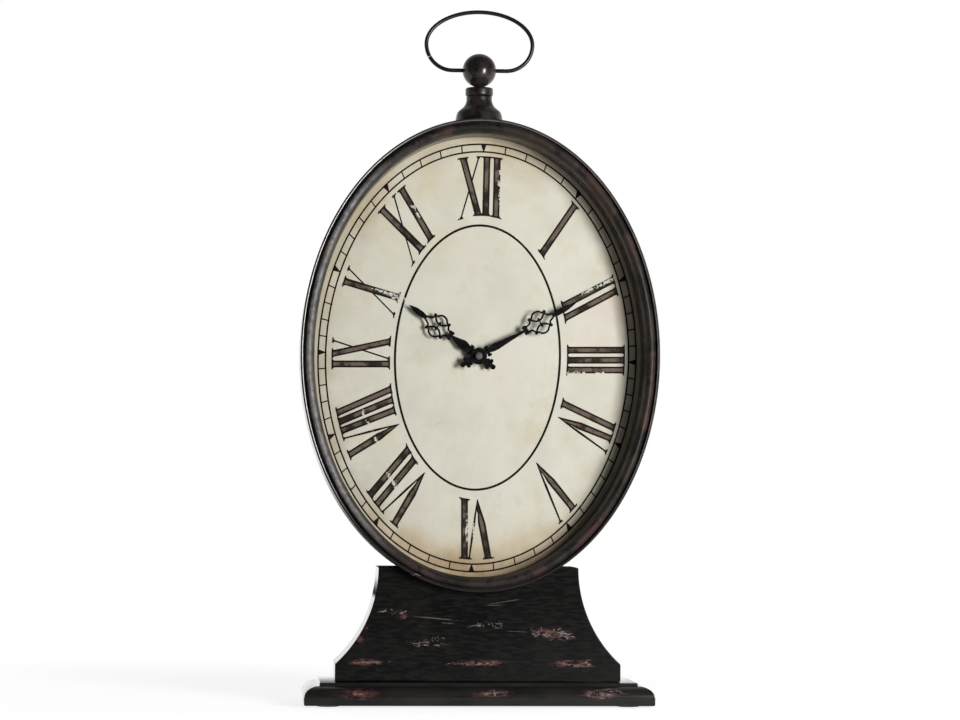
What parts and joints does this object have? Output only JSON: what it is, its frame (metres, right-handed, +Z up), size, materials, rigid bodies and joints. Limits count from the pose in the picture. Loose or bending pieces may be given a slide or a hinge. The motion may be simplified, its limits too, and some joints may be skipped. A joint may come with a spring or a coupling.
{
  "type": "table clock",
  "caption": "Oval clock shaped like a pocket watch: dark metal case, Roman numeral dial, pierced hands and a wire bow over a ball, on a coved black wooden pedestal with a moulded plinth.",
  "frame": {"origin": "on the table under the middle of the plinth, level with the bottoms of the felt feet", "axes": "+Z up; the dial faces -Y; +X is to the right seen from the front"},
  "size_m": [0.3248, 0.127, 0.6346],
  "materials": {
    "felt": "pressed felt",
    "black_wood": "black paint over red-brown, rubbed through in places, satin varnish",
    "raw_board": "raw fibreboard, matt",
    "bronze": "dark bronze paint mottled with red-brown, satin",
    "bow_wire": "black paint on steel wire, satin",
    "dial_print": "cream print on card, aged and matt",
    "hand_black": "black, semi-matt",
    "nut_grey": "dull grey",
    "steel": "zinc plated",
    "brass": "turned",
    "rubber": "matt",
    "black_plastic": "fine spark texture",
    "white_plastic": "moulded, slightly waxy",
    "magnet": "sintered",
    "copper_wire": "enamelled copper wire on an iron bar",
    "circuit": "green solder mask",
    "cell_sleeve": "plain printed sleeve without lettering, satin"
  },
  "bodies": {
    "clock": {"felt_foot_1": "felt", "felt_foot_2": "felt", "felt_foot_3": "felt", "felt_foot_4": "felt", "plinth": "black_wood", "plinth_screw_1": "steel", "plinth_screw_2": "steel", "plinth_screw_3": "steel", "plinth_screw_4": "steel", "pedestal_front_board": "black_wood", "pedestal_back_board": "black_wood", "pedestal_left_cove": "black_wood", "pedestal_right_cove": "black_wood", "saddle_board": "raw_board", "case_bolt_1": "steel", "case_bolt_2": "steel", "case_nut_1": "steel", "case_nut_2": "steel", "case_band": "bronze", "back_ring": "bronze", "bezel": "bronze", "dial_sheet": "dial_print", "dial_board": "raw_board", "back_panel": "raw_board", "back_panel_screw_1": "steel", "back_panel_screw_2": "steel", "back_panel_screw_3": "steel", "back_panel_screw_4": "steel", "neck": "bronze", "collar": "bronze", "pendant_stud": "steel", "stud_nut": "steel", "ball": "bronze", "rubber_washer": "rubber", "dial_washer": "brass", "dial_nut": "brass", "movement_front_shell": "black_plastic", "movement_rear_cover": "black_plastic", "stator": "steel", "coil": "copper_wire", "circuit_board": "circuit", "quartz_crystal": "steel", "battery_contact_positive": "steel", "battery_contact_negative": "steel"},
    "minute": {"minute_arbor": "brass", "minute_hand": "hand_black", "hand_nut": "nut_grey"},
    "hour": {"hour_wheel": "white_plastic", "hour_hand": "hand_black"},
    "intermediate": {"intermediate_wheel": "white_plastic"},
    "knob": {"setting_knob": "white_plastic"},
    "centre": {"centre_wheel": "white_plastic"},
    "third": {"third_wheel": "white_plastic"},
    "seconds": {"seconds_wheel": "white_plastic"},
    "step": {"step_wheel": "white_plastic"},
    "rotor": {"rotor": "magnet"},
    "bow": {"bow": "bow_wire"},
    "battery": {"battery": "cell_sleeve"}
  },
  "joints": [
    {"name": "minute_turn", "type": "hinge", "parent": "clock", "child": "minute", "pos_m": [0, 0, 0.316], "axis": [0, 1, 0], "continuous": true},
    {"name": "hour_turn", "type": "hinge", "parent": "clock", "child": "hour", "pos_m": [0, 0, 0.316], "axis": [0, 1, 0], "continuous": true},
    {"name": "intermediate_turn", "type": "hinge", "parent": "clock", "child": "intermediate", "pos_m": [-0.01063, 0, 0.31885], "axis": [0, 1, 0], "continuous": true},
    {"name": "knob_turn", "type": "hinge", "parent": "clock", "child": "knob", "pos_m": [-0.02125, 0, 0.316], "axis": [0, 1, 0], "continuous": true},
    {"name": "rotor_turn", "type": "hinge", "parent": "clock", "child": "rotor", "pos_m": [-0.00498, 0, 0.32969], "axis": [0, 1, 0], "continuous": true},
    {"name": "step_turn", "type": "hinge", "parent": "clock", "child": "step", "pos_m": [0.00096, 0, 0.32969], "axis": [0, 1, 0], "continuous": true},
    {"name": "seconds_turn", "type": "hinge", "parent": "clock", "child": "seconds", "pos_m": [0.00789, 0, 0.32969], "axis": [0, 1, 0], "continuous": true},
    {"name": "third_turn", "type": "hinge", "parent": "clock", "child": "third", "pos_m": [0.00935, 0, 0.3214], "axis": [0, 1, 0], "continuous": true},
    {"name": "centre_turn", "type": "hinge", "parent": "clock", "child": "centre", "pos_m": [0, 0, 0.316], "axis": [0, 1, 0], "continuous": true},
    {"name": "bow_swing", "type": "hinge", "parent": "clock", "child": "bow", "pos_m": [0, -0.005, 0.5788], "axis": [1, 0, 0], "range_deg": [-150, 150]},
    {"name": "battery_slide", "type": "slide", "parent": "clock", "child": "battery", "axis": [0, 1, 0], "range_m": [0, 0.045]}
  ],
  "couplings": [
    {"joint": "hour_turn", "follows": "minute_turn", "ratio": 0.083333},
    {"joint": "intermediate_turn", "follows": "minute_turn", "ratio": -0.33333},
    {"joint": "knob_turn", "follows": "minute_turn", "ratio": 1},
    {"joint": "step_turn", "follows": "rotor_turn", "ratio": -0.2},
    {"joint": "seconds_turn", "follows": "rotor_turn", "ratio": 0.033333},
    {"joint": "third_turn", "follows": "rotor_turn", "ratio": -0.0044444},
    {"joint": "centre_turn", "follows": "rotor_turn", "ratio": 0.00055556}
  ]
}
